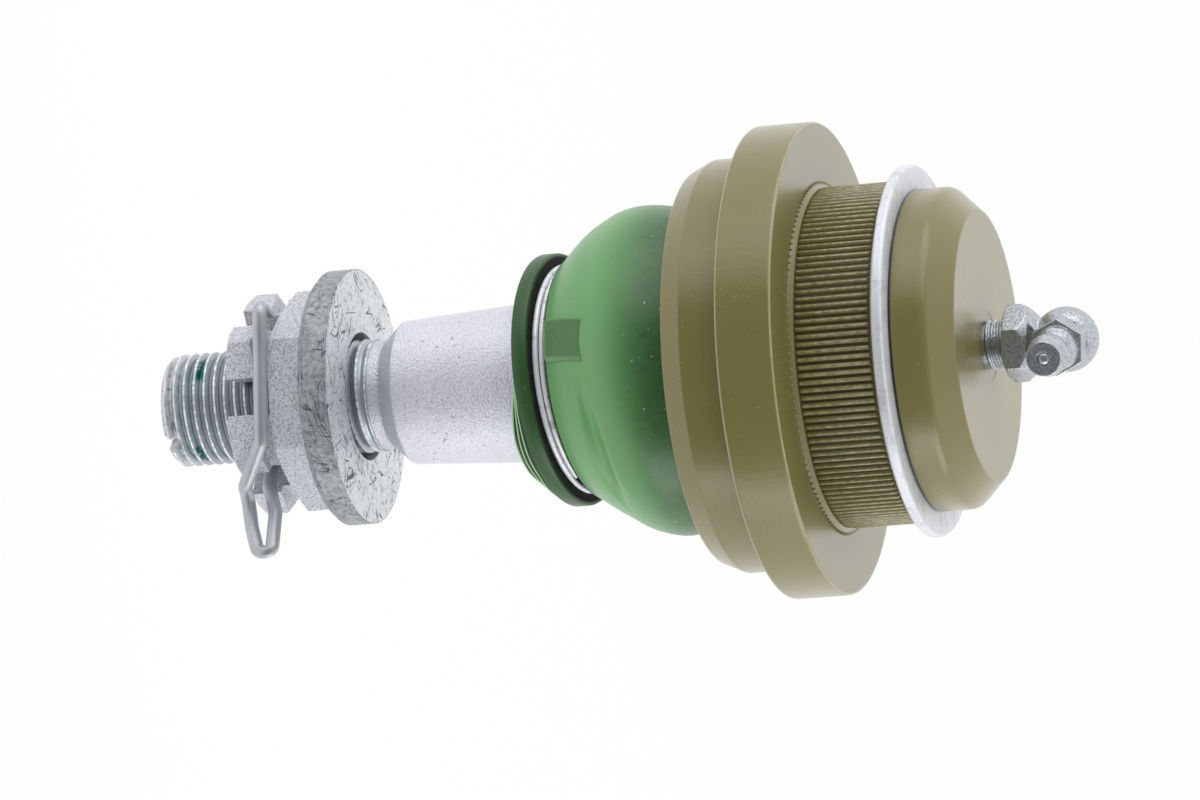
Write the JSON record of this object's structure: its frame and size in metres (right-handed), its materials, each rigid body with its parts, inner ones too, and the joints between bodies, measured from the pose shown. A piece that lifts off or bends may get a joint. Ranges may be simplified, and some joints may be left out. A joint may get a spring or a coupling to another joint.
{
  "type": "suspension ball joint",
  "caption": "Press-in ball joint with a tapered stud, slotted nut and split pin, green rubber boot, flanged housing, snap ring and angled grease fitting.",
  "frame": {"origin": "centre of the flange's seating face, where the joint meets the knuckle", "axes": "+Z along the joint's axis from the stud to the grease fitting, -Y the side that the grease fitting turns to"},
  "size_m": [0.066, 0.066, 0.1343],
  "materials": {
    "housing_paint": "smooth olive paint",
    "zinc": "bright zinc plate",
    "blasted_steel": "fine blasted silver",
    "rough_zinc": "rough forged, zinc plated",
    "grey_wire": "matte grey zinc",
    "white_wire": "pale coated wire",
    "boot_rubber": "green rubber, satin",
    "seat_plastic": "moulded bearing plastic",
    "inner_steel": "plain oiled steel",
    "bright_ball": "polished ball"
  },
  "bodies": {
    "housing": {"housing": "housing_paint", "lower_seat": "seat_plastic", "closing_ring": "inner_steel", "bead_ring": "inner_steel", "preload_spring": "inner_steel", "grease_elbow": "zinc", "grease_nipple": "zinc", "check_spring": "inner_steel"},
    "snap_ring": {"snap_ring": "zinc"},
    "pressure_plate": {"pressure_plate": "inner_steel"},
    "upper_seat": {"upper_seat": "seat_plastic"},
    "boot_end": {"boot": "boot_rubber", "boot_wire": "white_wire"},
    "stud": {"ball_stud": "blasted_steel", "castle_nut": "rough_zinc", "split_pin": "grey_wire"},
    "washer": {"washer": "rough_zinc"},
    "check_ball": {"check_ball": "bright_ball"}
  },
  "joints": [
    {"name": "spring_give", "type": "slide", "parent": "housing", "child": "pressure_plate", "axis": [0, 0, 1], "range_m": [0, 0.0003], "stiffness_N_per_m": 5000, "springref_m": -0.002, "deforming": ["preload_spring", "boot"]},
    {"name": "seat_swivel", "type": "hinge", "parent": "pressure_plate", "child": "upper_seat", "pos_m": [0, 0, -0.001], "axis": [0, 0, 1], "continuous": true},
    {"name": "stud_tilt", "type": "hinge", "parent": "upper_seat", "child": "boot_end", "pos_m": [0, 0, -0.001], "axis": [0, 1, 0], "range_deg": [-22, 22], "deforming": ["boot"]},
    {"name": "stud_spin", "type": "hinge", "parent": "boot_end", "child": "stud", "pos_m": [0, 0, -0.001], "axis": [0, 0, 1], "continuous": true},
    {"name": "washer_slide", "type": "slide", "parent": "stud", "child": "washer", "axis": [0, 0, 1], "range_m": [0, 0.005]},
    {"name": "check_ball_press", "type": "slide", "parent": "housing", "child": "check_ball", "axis": [-0.1668, 0.986, 0], "range_m": [0, 0.0007], "stiffness_N_per_m": 50, "springref_m": -0.001, "deforming": ["check_spring"]},
    {"name": "snap_ring_off", "type": "slide", "parent": "housing", "child": "snap_ring", "axis": [0, 0, 1], "range_m": [0, 0.03], "deforming": ["snap_ring"]}
  ]
}
